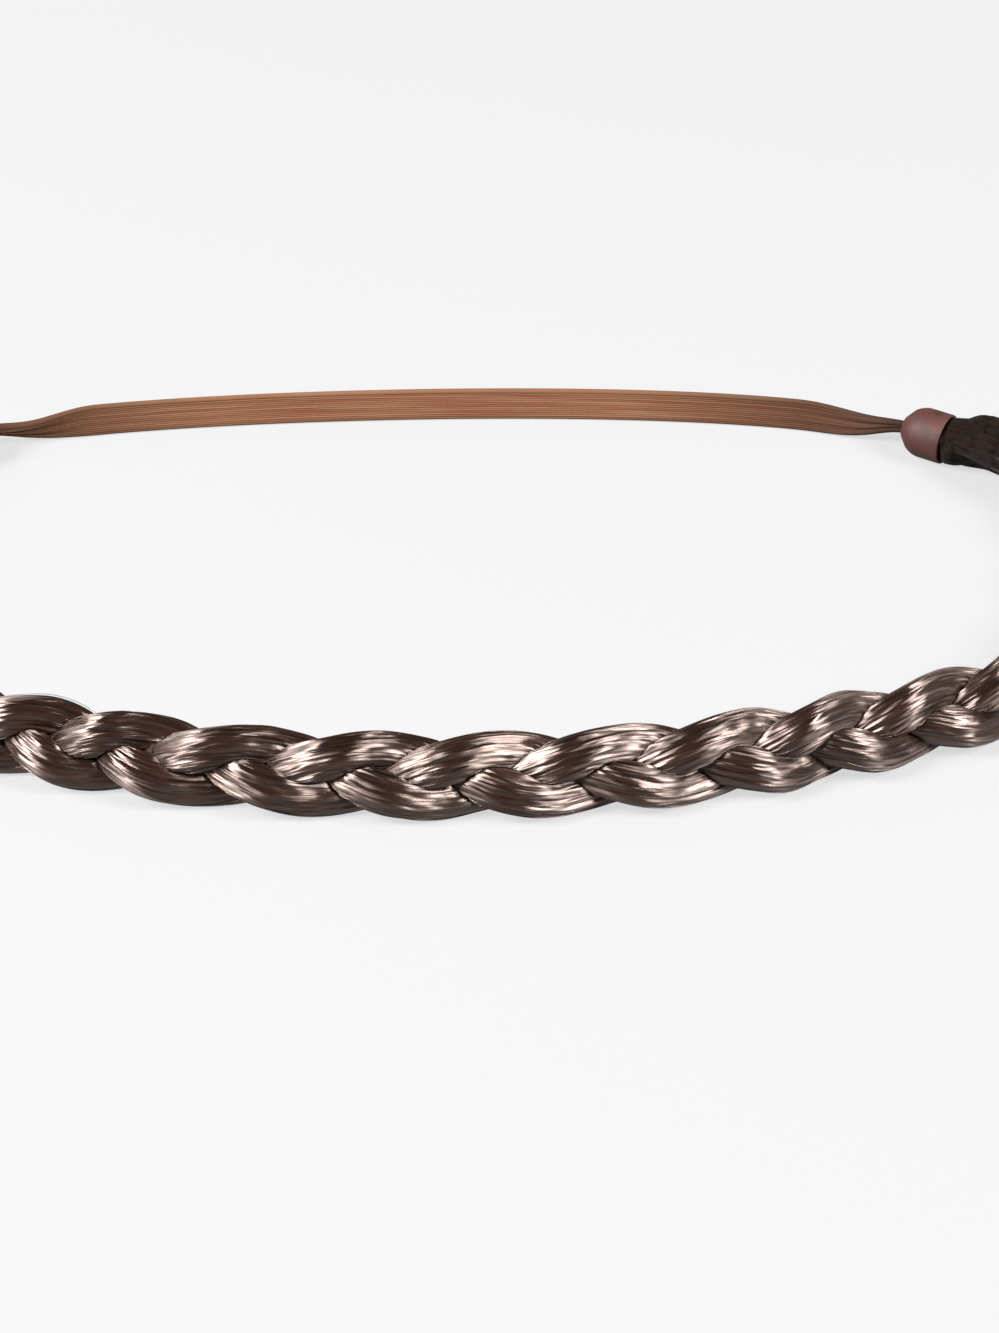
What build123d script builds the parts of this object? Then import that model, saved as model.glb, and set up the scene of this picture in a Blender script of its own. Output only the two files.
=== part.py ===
from build123d import *
import math
import os
from collections import namedtuple

# A plaited hair headband, lying on a flat surface as it rests by itself.
# A three-strand plait runs round the front and both sides of a closed loop. Its two gathered
# ends sit in small plastic caps, and a flat elastic joins the caps at the back.
# Millimetres and degrees. +Z is up, -Y is the front of the loop, and the origin is the middle
# of the loop's box, on the surface that it lies on.

# Plait: the tall face, its depth, and the gap between strands
braid_width = 13.1
braid_thickness = 8.4
strand_gap = 0.3
face_lean = 30.0

# Plaiting: length of one bump of the edge, in the middle and towards each cap
front_pitch = 18.4
right_pitch = 16.2
left_pitch = 15.0
front_run = 46.0
notch_shift = -1.4

# Loop: the arcs of one half, from the front middle to the cap
front_radius, front_turn = 200.0, 24.0
side_radius, side_turn = 43.0, 121.0
tail_radius, tail_turn = 70.0, 3.5

# Gathered ends and the caps over them
bundle_radius = 3.7
side_run = 4.5
gather_run = 8.0
gather_sections = 5
cap_gap = 0.15
cap_wall = 0.45
cap_length = 8.0
nose_length = 2.7
hair_grip = 3.0

# Elastic: flat in the middle, drawn together where it enters the caps
elastic_width = 6.0
elastic_thickness = 1.0
pinch_width = 2.0
pinch_thickness = 1.5
pinch_twist = 30.0
taper_run = 17.0
elastic_grip = 4.5
slot_gap = 0.2
handle_right = 30.0
handle_left = 19.0
floor_gap = 0.1
flat_sections = 9
curve_samples = 400

# Plaiting as shares of the plait's half width and half depth.
# A strand swings across the tall face once a turn and in and out twice a turn, and its own
# section fills the rest. Where strands meet, they press each other flat.
swing_across = 0.485
swing_out = 0.41
flatness = 6
strand_sides = 12
turn_step = 12
turns_per_bump = 120
notch_turn = 30

# Elastic between a cap and the flat middle. run is a share of taper_run, and the others are
# shares of the change from the drawn-together end to the flat band. sag is how far it has
# come down from the height of the cap to lie on the surface.
TaperRow = namedtuple("TaperRow", "run width thickness twist sag")
taper_rows = [
    TaperRow(run=0.0, width=0.0, thickness=0.0, twist=0.0, sag=0.0),
    TaperRow(run=0.2, width=0.14, thickness=0.25, twist=0.1, sag=0.25),
    TaperRow(run=0.45, width=0.45, thickness=0.6, twist=0.35, sag=0.7),
    TaperRow(run=0.7, width=0.77, thickness=0.85, twist=0.7, sag=0.95),
    TaperRow(run=1.0, width=1.0, thickness=1.0, twist=1.0, sag=1.0),
]
corner_share = 0.35

# Worked out from the sizes above. Three round strands of the touching radius fill the bundle.
plan_arcs = [(front_radius, front_turn), (side_radius, side_turn), (tail_radius, tail_turn)]
half_length = sum(radius * math.radians(turn) for radius, turn in plan_arcs)
plait_end = half_length - gather_run - side_run
cap_radius = bundle_radius + cap_gap + cap_wall
touching_radius = (bundle_radius + strand_gap / 2) / (1 + 2 / math.sqrt(3))
hole_radius = math.hypot(pinch_width, pinch_thickness) / 2 + slot_gap


def blend(start, end, share):
    """Value part of the way from start to end."""
    return start + (end - start) * share


def ease(share):
    """Share from 0 to 1 that leaves and arrives gently."""
    share = min(max(share, 0.0), 1.0)
    return share * share * (3 - 2 * share)


def plan_place(distance):
    """Plan place and heading of the middle line, a distance from the front middle."""
    side = 1 if distance >= 0 else -1
    left = abs(distance)
    x, y, heading = 0.0, 0.0, 0.0
    for radius, turn in plan_arcs:
        run = min(left, radius * math.radians(turn))
        swept = run / radius
        x += radius * (math.sin(heading + swept) - math.sin(heading))
        y += radius * (math.cos(heading) - math.cos(heading + swept))
        heading += swept
        left -= run
    x += left * math.cos(heading)
    y += left * math.sin(heading)
    return side * x, y, side * heading


def gathered(distance):
    """How far the strands have drawn in to the round bundle in a cap, from 0 to 1."""
    return ease((abs(distance) - half_length) / gather_run + 1)


def strand_centre(turn, drawn):
    """Middle of a strand's section across the tall face and out of it."""
    bundle_offset = touching_radius * 2 / math.sqrt(3)
    swing_u = blend(swing_across * braid_width / 2, bundle_offset, drawn)
    swing_n = blend(swing_out * braid_thickness / 2, bundle_offset, drawn)
    return swing_u * math.sin(math.radians(turn)), swing_n * math.sin(math.radians(2 * turn))


def strand_points(turn, drawn):
    """Corners of a strand's section, pressed flat towards the other two strands."""
    half_u = blend((1 - swing_across) * braid_width / 2, touching_radius, drawn)
    half_n = blend((1 - swing_out) * braid_thickness / 2, touching_radius, drawn)
    centre_u, centre_n = strand_centre(turn, drawn)
    others = [strand_centre(turn + lag, drawn) for lag in (120, 240)]
    corners = []
    for corner in range(strand_sides):
        angle = 2 * math.pi * corner / strand_sides
        cos_a, sin_a = math.cos(angle), math.sin(angle)
        press = 1.0
        for other_u, other_n in others:
            apart_u, apart_n = (other_u - centre_u) / half_u, (other_n - centre_n) / half_n
            towards = cos_a * apart_u + sin_a * apart_n
            if towards > 0:
                press += (2 * towards / (apart_u**2 + apart_n**2)) ** flatness
        size = press ** (-1 / flatness)
        size -= strand_gap / 2 / math.hypot(half_u * cos_a, half_n * sin_a)
        corners.append((centre_u + size * half_u * cos_a, centre_n + size * half_n * sin_a))
    return corners


def plait_reach(lift_share, out_share):
    """Furthest that the plait reaches from its middle line in one direction of its section."""
    turns = range(notch_turn, notch_turn + 360, turn_step)
    corners = [corner for turn in turns for corner in strand_points(turn, 0.0)]
    return max(lift_share * u + out_share * n for u, n in corners)


lean = math.radians(face_lean)
braid_rise = plait_reach(math.cos(lean), math.sin(lean))
front_reach = plait_reach(math.sin(lean), math.cos(lean))

# Caps lie straight on from the plait's ends, and the elastic bows back between their noses
nose_x, nose_y, nose_heading = plan_place(half_length + cap_length)


def elastic_place(share):
    """Plan place of the elastic's middle line, from the right nose to the left one."""
    pull_x, pull_y = math.cos(nose_heading), math.sin(nose_heading)
    handles = [
        (nose_x, nose_y),
        (nose_x + handle_right * pull_x, nose_y + handle_right * pull_y),
        (-nose_x - handle_left * pull_x, nose_y + handle_left * pull_y),
        (-nose_x, nose_y),
    ]
    order = len(handles) - 1
    weights = [
        math.comb(order, i) * (1 - share) ** (order - i) * share**i for i in range(order + 1)
    ]
    return tuple(sum(w * point[axis] for w, point in zip(weights, handles)) for axis in (0, 1))


bow_places = [elastic_place(step / curve_samples) for step in range(curve_samples + 1)]
back_reach = max(y for x, y in bow_places) + elastic_thickness / 2
middle_y = (back_reach - front_reach) / 2


def strand_plane(distance):
    """Plane across the plait: x runs up the tall face and y out of it."""
    x, y, heading = plan_place(distance)
    drawn = gathered(distance)
    tilt = blend(lean, 0.0, drawn)
    rise = blend(braid_rise, cap_radius, drawn)
    out_x, out_y = math.sin(heading), -math.cos(heading)
    return Plane(
        origin=(x, y - middle_y, rise),
        x_dir=(-math.sin(tilt) * out_x, -math.sin(tilt) * out_y, math.cos(tilt)),
        z_dir=(math.cos(heading), math.sin(heading), 0),
    )


def side_bumps(reach, pitch):
    """Bumps from the middle notch to the plait's end, to the nearest half, and those at reach."""
    near = abs(reach - notch_shift) / front_pitch
    return round(2 * (near + (plait_end - front_run) / pitch)) / 2, near


right_bumps, right_near = side_bumps(front_run, right_pitch)
left_bumps, left_near = side_bumps(-front_run, left_pitch)


def bump_distance(bumps):
    """Distance along the middle line at which the upper edge has passed so many bumps."""
    if bumps > right_near:
        return blend(front_run, plait_end, (bumps - right_near) / (right_bumps - right_near))
    if bumps < -left_near:
        return -blend(front_run, plait_end, (-bumps - left_near) / (left_bumps - left_near))
    return notch_shift + bumps * front_pitch


def strand_stations():
    """Distance and turn of each section of the plait, from inside the left cap to the right one.

    Past the last bump the strands cross no more: they run on side by side, then draw in to the
    cap.
    """
    steps_per_bump = turns_per_bump // turn_step
    first = -round(left_bumps * steps_per_bump)
    last = round(right_bumps * steps_per_bump)
    stations = [
        (bump_distance(step / steps_per_bump), notch_turn + step * turn_step)
        for step in range(first, last + 1)
    ]
    runs = [side_run + gather_run * step / gather_sections for step in range(gather_sections + 1)]
    runs.append(side_run + gather_run + hair_grip)
    left_end = [(-plait_end - run, stations[0][1]) for run in reversed(runs)]
    right_end = [(plait_end + run, stations[-1][1]) for run in runs]
    return left_end + stations + right_end


def elastic_stations():
    """Place, heading, share of the flat form and twist side of each section of the elastic."""
    lengths = [0.0]
    for start, end in zip(bow_places, bow_places[1:]):
        lengths.append(lengths[-1] + math.dist(start, end))
    runs = [row.run * taper_run for row in taper_rows]
    flat = lengths[-1] - 2 * taper_run
    middle = [taper_run + flat * step / flat_sections for step in range(1, flat_sections)]
    ends = [lengths[-1] - run for run in reversed(runs)]
    stations = []
    for run in runs + middle + ends:
        index = min(range(len(lengths)), key=lambda i: abs(lengths[i] - run))
        before, after = bow_places[max(index - 1, 0)], bow_places[min(index + 1, curve_samples)]
        heading = math.atan2(after[1] - before[1], after[0] - before[0])
        from_end = min(run, lengths[-1] - run)
        side = 1 if run < lengths[-1] / 2 else -1
        stations.append((bow_places[index], heading, from_end, side))
    return stations, lengths[-1]


def taper_values(from_end):
    """Width, thickness, twist and rise of the elastic, a distance from the nearer nose."""
    run = min(from_end / taper_run, 1.0)
    row = min(taper_rows, key=lambda r: abs(r.run - run))
    width = blend(pinch_width, elastic_width, row.width)
    return (
        width,
        blend(pinch_thickness, elastic_thickness, row.thickness),
        blend(pinch_twist, 0.0, row.twist),
        blend(cap_radius, width / 2 + floor_gap, row.sag),
    )


def elastic_plane(place, heading, from_end, side):
    """Plane across the elastic, twisted about its middle line, and its width and thickness there."""
    width, thickness, twist, rise = taper_values(from_end)
    angle = math.radians(twist * side)
    out_x, out_y = math.sin(heading), -math.cos(heading)
    plane = Plane(
        origin=(place[0], place[1] - middle_y, rise),
        x_dir=(math.sin(angle) * out_x, math.sin(angle) * out_y, math.cos(angle)),
        z_dir=(math.cos(heading), math.sin(heading), 0),
    )
    return plane, width, thickness


os.makedirs("parts", exist_ok=True)

# The three strands of the plait, a third of a turn apart
for name, lag in (("strand_a", 0), ("strand_b", 120), ("strand_c", 240)):
    with BuildPart() as strand:
        for distance, turn in strand_stations():
            with BuildSketch(strand_plane(distance)):
                with BuildLine():
                    Polyline(*strand_points(turn + lag, gathered(distance)), close=True)
                make_face()
        loft(ruled=True)
    strand.part.label = name
    export_step(strand.part, f"parts/{name}.step")

# The elastic, with a straight stub into each cap
bow_stations, elastic_length = elastic_stations()
stub_x = nose_x - elastic_grip * math.cos(nose_heading)
stub_y = nose_y - elastic_grip * math.sin(nose_heading)
bow_stations.insert(0, ((stub_x, stub_y), nose_heading, 0.0, 1))
bow_stations.append(((-stub_x, stub_y), -nose_heading, 0.0, -1))
with BuildPart() as elastic_band:
    for station in bow_stations:
        section_plane, width, thickness = elastic_plane(*station)
        with BuildSketch(section_plane):
            RectangleRounded(width, thickness, corner_share * thickness)
    loft(ruled=True)
elastic_band.part.label = "elastic_band"
export_step(elastic_band.part, "parts/elastic_band.step")

# A cap on each end: a thin tube, open over the hair, that closes to a nose round the elastic
for name, side in (("end_cap_right", 1), ("end_cap_left", -1)):
    into_cap = (-side * math.cos(nose_heading), -math.sin(nose_heading), 0)
    nose_plane = Plane(
        origin=(side * nose_x, nose_y - middle_y, cap_radius),
        x_dir=into_cap,
        z_dir=(-into_cap[1], into_cap[0], 0),
    )
    with BuildPart() as cap:
        with BuildSketch(nose_plane):
            with BuildLine():
                Polyline(
                    (0, hole_radius),
                    (0, hole_radius + cap_wall),
                    (nose_length, cap_radius),
                    (cap_length, cap_radius),
                    (cap_length, cap_radius - cap_wall),
                    (nose_length, cap_radius - cap_wall),
                    (cap_wall, hole_radius),
                    close=True,
                )
            make_face()
        revolve(axis=Axis((side * nose_x, nose_y - middle_y, cap_radius), into_cap))
    cap.part.label = name
    export_step(cap.part, f"parts/{name}.step")

whole_length = 2 * (half_length + cap_length) + elastic_length
print(f"plait {2 * half_length:.1f}, elastic {elastic_length:.1f}, whole loop {whole_length:.1f}")
print(f"bumps left {left_bumps}, right {right_bumps}, rise {braid_rise:.2f}")
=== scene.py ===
import logging
import math
from dataclasses import dataclass, field
from enum import Enum

import bpy
import numpy as np
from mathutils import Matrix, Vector


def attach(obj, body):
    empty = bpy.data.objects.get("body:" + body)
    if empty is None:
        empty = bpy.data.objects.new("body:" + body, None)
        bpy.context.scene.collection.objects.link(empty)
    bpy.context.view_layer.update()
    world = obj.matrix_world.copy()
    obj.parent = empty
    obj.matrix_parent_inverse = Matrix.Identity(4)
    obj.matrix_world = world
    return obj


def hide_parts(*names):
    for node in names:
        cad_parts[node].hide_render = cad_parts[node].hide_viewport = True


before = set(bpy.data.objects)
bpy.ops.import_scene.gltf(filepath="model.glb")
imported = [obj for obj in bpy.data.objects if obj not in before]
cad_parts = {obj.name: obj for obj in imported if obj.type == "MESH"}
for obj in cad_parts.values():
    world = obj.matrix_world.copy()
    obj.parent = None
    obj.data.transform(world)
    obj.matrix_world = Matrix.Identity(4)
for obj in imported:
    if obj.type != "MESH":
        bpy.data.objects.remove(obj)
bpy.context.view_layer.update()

# Braided headband of synthetic hair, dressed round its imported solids.
# Sizes in the dataclasses are millimetres and degrees, and become metres where a mesh is made.

LOG = logging.getLogger("headband")
Material = bpy.types.Material
Node = bpy.types.Node
Socket = bpy.types.NodeSocket
Tree = bpy.types.NodeTree
Part = bpy.types.Object
Colour = tuple[float, float, float, float]
MM = 0.001
ROOT = "root"
FIBRE = "Fibre"
# name of the mesh attribute that holds the share of painted shade near the caps
CAP_SHADE = "Glue"


class Side(Enum):
    """Which end of the plait a piece belongs to, as the sign of its x."""

    LEFT = -1
    RIGHT = 1


class Strand(Enum):
    """The three strands of the plait, as the degrees of turn that each is ahead by."""

    A = 0
    B = 120
    C = 240

    @property
    def letter(self) -> str:
        """Letter used in the names of nodes and pieces."""
        return self.name.lower()


def linear_colour(code: str) -> Colour:
    """Turns an sRGB hex colour to the linear values that a shader needs.

    Args:
        code: Six hex digits, as in "a0714f".

    Returns:
        Linear red, green and blue, and full opacity.
    """
    parts = [int(code[i : i + 2], 16) / 255 for i in (0, 2, 4)]
    linear = [p / 12.92 if p <= 0.04045 else ((p + 0.055) / 1.055) ** 2.4 for p in parts]
    return (linear[0], linear[1], linear[2], 1.0)


def add_node(
    tree: Tree,
    kind: str,
    inputs: dict[str | int, object] | None = None,
    stops: tuple[tuple[float, str], ...] = (),
    **settings: object,
) -> Node:
    """Adds a shader node with its settings and links.

    Args:
        tree: Node tree that gets the node.
        kind: Blender's name for the kind of node.
        inputs: What each input gets, by name or number. An output of another node is linked, a
            node by its first output, and anything else is a constant.
        stops: Place from 0 to 1 and sRGB hex colour of each stop, where it is a colour ramp.
        **settings: Attributes of the node itself.

    Returns:
        The new node.
    """
    node = tree.nodes.new(kind)
    for name, value in settings.items():
        setattr(node, name, value)
    for name, value in (inputs or {}).items():
        feed = value.outputs[0] if isinstance(value, Node) else value
        if isinstance(feed, Socket):
            tree.links.new(feed, node.inputs[name])
        else:
            node.inputs[name].default_value = feed
    if stops:
        elements = node.color_ramp.elements
        while len(elements) < len(stops):
            elements.new(1.0)
        for element, (place, code) in zip(elements, stops):
            element.position = place
            element.color = linear_colour(code)
    return node


def new_material(name: str) -> tuple[Material, Tree]:
    """Starts a material with an empty node tree.

    Args:
        name: Name of the material.

    Returns:
        The material and its node tree.
    """
    material = bpy.data.materials.new(name)
    material.use_nodes = True
    material.node_tree.nodes.clear()
    return material, material.node_tree


def make_mesh(
    name: str,
    points: np.ndarray,
    quads: np.ndarray,
    uvs: np.ndarray,
    ends: list[list[int]],
    cap_shade_share: np.ndarray | None = None,
) -> Part:
    """Makes a smooth-shaded mesh object from arrays.

    Args:
        name: Name of the object and its mesh.
        points: Vertices in metres, one row each.
        quads: Four vertex numbers for each four-sided face.
        uvs: Texture place of each corner of each quad, in the quads' order.
        ends: Vertex numbers of each many-sided end face.
        cap_shade_share: Share of painted shade in the hair at each vertex, for the hair's finish.

    Returns:
        The object, linked to the scene.
    """
    corners = np.concatenate([quads.ravel(), *[np.asarray(end) for end in ends]])
    totals = np.concatenate([np.full(len(quads), 4), [len(end) for end in ends]]).astype(int)
    starts = np.concatenate([[0], np.cumsum(totals)[:-1]])
    mesh = bpy.data.meshes.new(name)
    mesh.vertices.add(len(points))
    mesh.vertices.foreach_set("co", points.astype(np.float32).ravel())
    mesh.loops.add(len(corners))
    mesh.loops.foreach_set("vertex_index", corners.astype(np.int32))
    mesh.polygons.add(len(totals))
    mesh.polygons.foreach_set("loop_start", starts.astype(np.int32))
    mesh.polygons.foreach_set("use_smooth", np.ones(len(totals), bool))
    layer = mesh.uv_layers.new(name=FIBRE)
    places = np.zeros((len(corners), 2), np.float32)
    places[: quads.size] = uvs.reshape(-1, 2)
    layer.data.foreach_set("uv", places.ravel())
    if cap_shade_share is not None:
        shares = mesh.attributes.new(CAP_SHADE, "FLOAT", "POINT")
        shares.data.foreach_set("value", cap_shade_share.astype(np.float32).ravel())
    mesh.update(calc_edges=True)
    mesh.validate()
    made = bpy.data.objects.new(name, mesh)
    bpy.context.scene.collection.objects.link(made)
    return made


def ring_quads(rings: int, columns: int, closed_along: bool = False) -> np.ndarray:
    """Faces of a tube whose vertices are numbered ring by ring.

    Args:
        rings: Number of rings.
        columns: Vertices in each ring, which closes on itself.
        closed_along: True if the last ring joins the first one.

    Returns:
        Four vertex numbers for each face.
    """
    spans = rings if closed_along else rings - 1
    ring = np.arange(spans)[:, None]
    column = np.arange(columns)[None, :]
    following = (ring + 1) % rings
    beside = (column + 1) % columns
    quads = np.stack(
        [
            ring * columns + column,
            ring * columns + beside,
            following * columns + beside,
            following * columns + column,
        ],
        axis=-1,
    )
    return quads.reshape(-1, 4)


def end_faces(rings: int, columns: int) -> list[list[int]]:
    """Vertex numbers of the two faces that close a tube numbered ring by ring.

    Args:
        rings: Number of rings.
        columns: Vertices in each ring.

    Returns:
        The first end's numbers, turned round to face out, and the last end's.
    """
    last = (rings - 1) * columns
    return [list(range(columns - 1, -1, -1)), list(range(last, last + columns))]


def tube_uvs(across: np.ndarray, beside: np.ndarray, along: np.ndarray) -> np.ndarray:
    """Texture places for the faces of ring_quads, in millimetres.

    Args:
        across: Place of each column round the tube.
        beside: Place of the next column, seen from that one.
        along: Distance of each ring along the tube.

    Returns:
        Place of the four corners of each face.
    """
    spread = np.zeros((len(along) - 1, len(across)))
    left, right = across + spread, beside + spread
    here, following = along[:-1, None] + spread, along[1:, None] + spread
    corners = [(left, here), (right, here), (right, following), (left, following)]
    places = np.stack([np.stack(corner, axis=-1) for corner in corners], axis=2)
    return places.reshape(-1, 4, 2)


def round_uvs(columns: int, around: float, along: np.ndarray) -> np.ndarray:
    """Texture places for a round tube whose columns are evenly spaced.

    Args:
        columns: Vertices in each ring.
        around: Length once round a ring, in millimetres.
        along: Distance of each ring along the tube.

    Returns:
        Place of the four corners of each face.
    """
    across = np.arange(columns) * around / columns
    return tube_uvs(across, across + around / columns, along)


def place_piece(piece: Part, finish: Material, nodes: tuple[str, ...] = ()) -> None:
    """Dresses a finished piece and ties it to the frame.

    Args:
        piece: The object.
        finish: Its material.
        nodes: CAD nodes that it stands for.
    """
    piece.data.materials.append(finish)
    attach(piece, ROOT)
    if nodes:
        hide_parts(*nodes)
    LOG.info("%s: %d faces", piece.name, len(piece.data.polygons))


def combed_noise(seed: int, rings: int, columns: int, along: float, around: float) -> np.ndarray:
    """Noise drawn out along the fibres of a lock, with mean 0 and spread 1.

    Args:
        seed: Seed of the draw.
        rings: Number of rings along the lock.
        columns: Columns round it.
        along: Smoothing along the lock, in rings.
        around: Smoothing round it, in columns.

    Returns:
        One value for each ring and column, which repeats round the lock.
    """
    drawn = np.random.default_rng(seed).standard_normal((rings, columns))
    ring_rate = np.fft.fftfreq(rings)[:, None]
    column_rate = np.fft.fftfreq(columns)[None, :]
    decay = (along * ring_rate) ** 2 + (around * column_rate) ** 2
    smooth = np.fft.ifft2(np.fft.fft2(drawn) * np.exp(-2 * math.pi**2 * decay)).real
    return smooth / smooth.std()


def ease(share: np.ndarray) -> np.ndarray:
    """Share from 0 to 1 that leaves and arrives gently."""
    share = np.clip(share, 0.0, 1.0)
    return share * share * (3 - 2 * share)


def laid_down(points: np.ndarray, lowest: float = 0.0) -> np.ndarray:
    """Points of soft hair, pressed flat where they would go under the surface it lies on.

    Args:
        points: Places in millimetres, in any arrangement.
        lowest: Least height that they keep.

    Returns:
        The points, none of them lower than that.
    """
    points[..., 2] = np.maximum(points[..., 2], lowest)
    return points


@dataclass(frozen=True)
class LoopPlan:
    """Middle line of the plait in plan, and the caps at its ends, which lie on the surface.

    Each side of the line has three arcs, given by their radius and turn from the front middle.
    """

    arcs: tuple[tuple[float, float], ...] = ((200.0, 24.0), (43.0, 121.0), (70.0, 3.5))
    middle_y: float = 51.642
    cap_length: float = 8.0
    cap_radius: float = 4.3

    @property
    def half_length(self) -> float:
        """Length from the front middle to a cap."""
        return sum(radius * math.radians(turn) for radius, turn in self.arcs)

    def place(self, distance: np.ndarray) -> tuple[np.ndarray, np.ndarray, np.ndarray]:
        """Plan place and heading of the middle line.

        Args:
            distance: Distances from the front middle, positive to the right.

        Returns:
            x, y and heading in radians, each as an array.
        """
        side = np.where(distance >= 0, 1.0, -1.0)
        left = np.abs(distance)
        x, y, heading = (np.zeros_like(left) for _ in range(3))
        for radius, turn in self.arcs:
            run = np.minimum(left, radius * math.radians(turn))
            swept = run / radius
            x += radius * (np.sin(heading + swept) - np.sin(heading))
            y += radius * (np.cos(heading) - np.cos(heading + swept))
            heading = heading + swept
            left = left - run
        x += left * np.cos(heading)
        y += left * np.sin(heading)
        return side * x, y - self.middle_y, side * heading

    def nose(self) -> tuple[float, float, float]:
        """Plan place and heading of the right cap's nose."""
        x, y, heading = self.place(np.array([self.half_length + self.cap_length]))
        return float(x[0]), float(y[0]), float(heading[0])


@dataclass(frozen=True)
class Plaiting:
    """How the three strands lie round the middle line."""

    plan: LoopPlan
    width: float = 13.1
    thickness: float = 8.4
    gap: float = 0.3
    face_lean: float = 30.0
    front_pitch: float = 18.4
    right_pitch: float = 16.2
    left_pitch: float = 15.0
    front_run: float = 46.0
    notch_shift: float = -1.4
    side_run: float = 4.5
    gather_run: float = 8.0
    bundle_radius: float = 3.7
    rise: float = 6.154
    swing_across: float = 0.485
    swing_out: float = 0.41
    notch_turn: float = 30.0
    bump_turn: float = 120.0

    @property
    def plait_end(self) -> float:
        """Distance from the front middle at which the strands cross no more."""
        return self.plan.half_length - self.gather_run - self.side_run

    def drawn(self, distance: np.ndarray) -> np.ndarray:
        """Share by which the strands have drawn in to the round bundle in a cap."""
        return ease((np.abs(distance) - self.plan.half_length) / self.gather_run + 1)

    def turn(self, distance: np.ndarray) -> np.ndarray:
        """Turn of the plait, which has its own pitch at the front and on each side.

        Args:
            distance: Distances from the front middle.

        Returns:
            The turn in degrees.
        """
        marks, turns = [self.notch_shift], [0.0]
        for side, pitch in ((1, self.right_pitch), (-1, self.left_pitch)):
            near = (self.front_run - side * self.notch_shift) / self.front_pitch
            whole = round(2 * (near + (self.plait_end - self.front_run) / pitch)) / 2
            marks += [side * self.front_run, side * self.plait_end]
            turns += [side * near, side * whole]
        order = np.argsort(marks)
        bumps = np.interp(distance, np.array(marks)[order], np.array(turns)[order])
        return self.notch_turn + self.bump_turn * bumps

    def touching_radius(self) -> float:
        """Radius of three equal round strands that fill the bundle in a cap."""
        return (self.bundle_radius + self.gap / 2) / (1 + 2 / math.sqrt(3))

    def centre(self, turn: np.ndarray, drawn: np.ndarray) -> tuple[np.ndarray, np.ndarray]:
        """Middle of a strand's section.

        Args:
            turn: Turn of the strand in degrees.
            drawn: Share drawn in to the bundle.

        Returns:
            Place up the tall face, and place out of it.
        """
        bundle = self.touching_radius() * 2 / math.sqrt(3)
        across = (1 - drawn) * self.swing_across * self.width / 2 + drawn * bundle
        out = (1 - drawn) * self.swing_out * self.thickness / 2 + drawn * bundle
        return across * np.sin(np.radians(turn)), out * np.sin(np.radians(2 * turn))

    def halves(self, drawn: np.ndarray) -> tuple[np.ndarray, np.ndarray]:
        """Half width and half depth of a strand's section before it is pressed.

        Args:
            drawn: Share drawn in to the bundle.

        Returns:
            Half size up the tall face, and half size out of it.
        """
        bundle = self.touching_radius()
        across = (1 - drawn) * (1 - self.swing_across) * self.width / 2 + drawn * bundle
        out = (1 - drawn) * (1 - self.swing_out) * self.thickness / 2 + drawn * bundle
        return across, out

    def axes(self, distance: np.ndarray) -> tuple[np.ndarray, np.ndarray, np.ndarray]:
        """Frame across the plait.

        Args:
            distance: Distances from the front middle.

        Returns:
            Origin, direction up the tall face, and direction out of it.
        """
        x, y, heading = self.plan.place(distance)
        drawn = self.drawn(distance)
        tilt = math.radians(self.face_lean) * (1 - drawn)
        rise = self.rise * (1 - drawn) + self.plan.cap_radius * drawn
        out_x, out_y = np.sin(heading), -np.cos(heading)
        origin = np.stack([x, y, rise], axis=-1)
        up = np.stack([-np.sin(tilt) * out_x, -np.sin(tilt) * out_y, np.cos(tilt)], axis=-1)
        out = np.stack([np.cos(tilt) * out_x, np.cos(tilt) * out_y, np.sin(tilt)], axis=-1)
        return origin, up, out

    def laid_out(self, distance: np.ndarray, across: np.ndarray, out: np.ndarray) -> np.ndarray:
        """Points of hair, by ring and column, none of them under the surface it lies on.

        Args:
            distance: Distance of each ring from the front middle.
            across: Place of each point up the tall face.
            out: Place of each point out of it.

        Returns:
            The points in millimetres.
        """
        origin, up, outward = self.axes(distance)
        return laid_down(
            origin[:, None, :]
            + across[..., None] * up[:, None, :]
            + out[..., None] * outward[:, None, :]
        )


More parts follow.
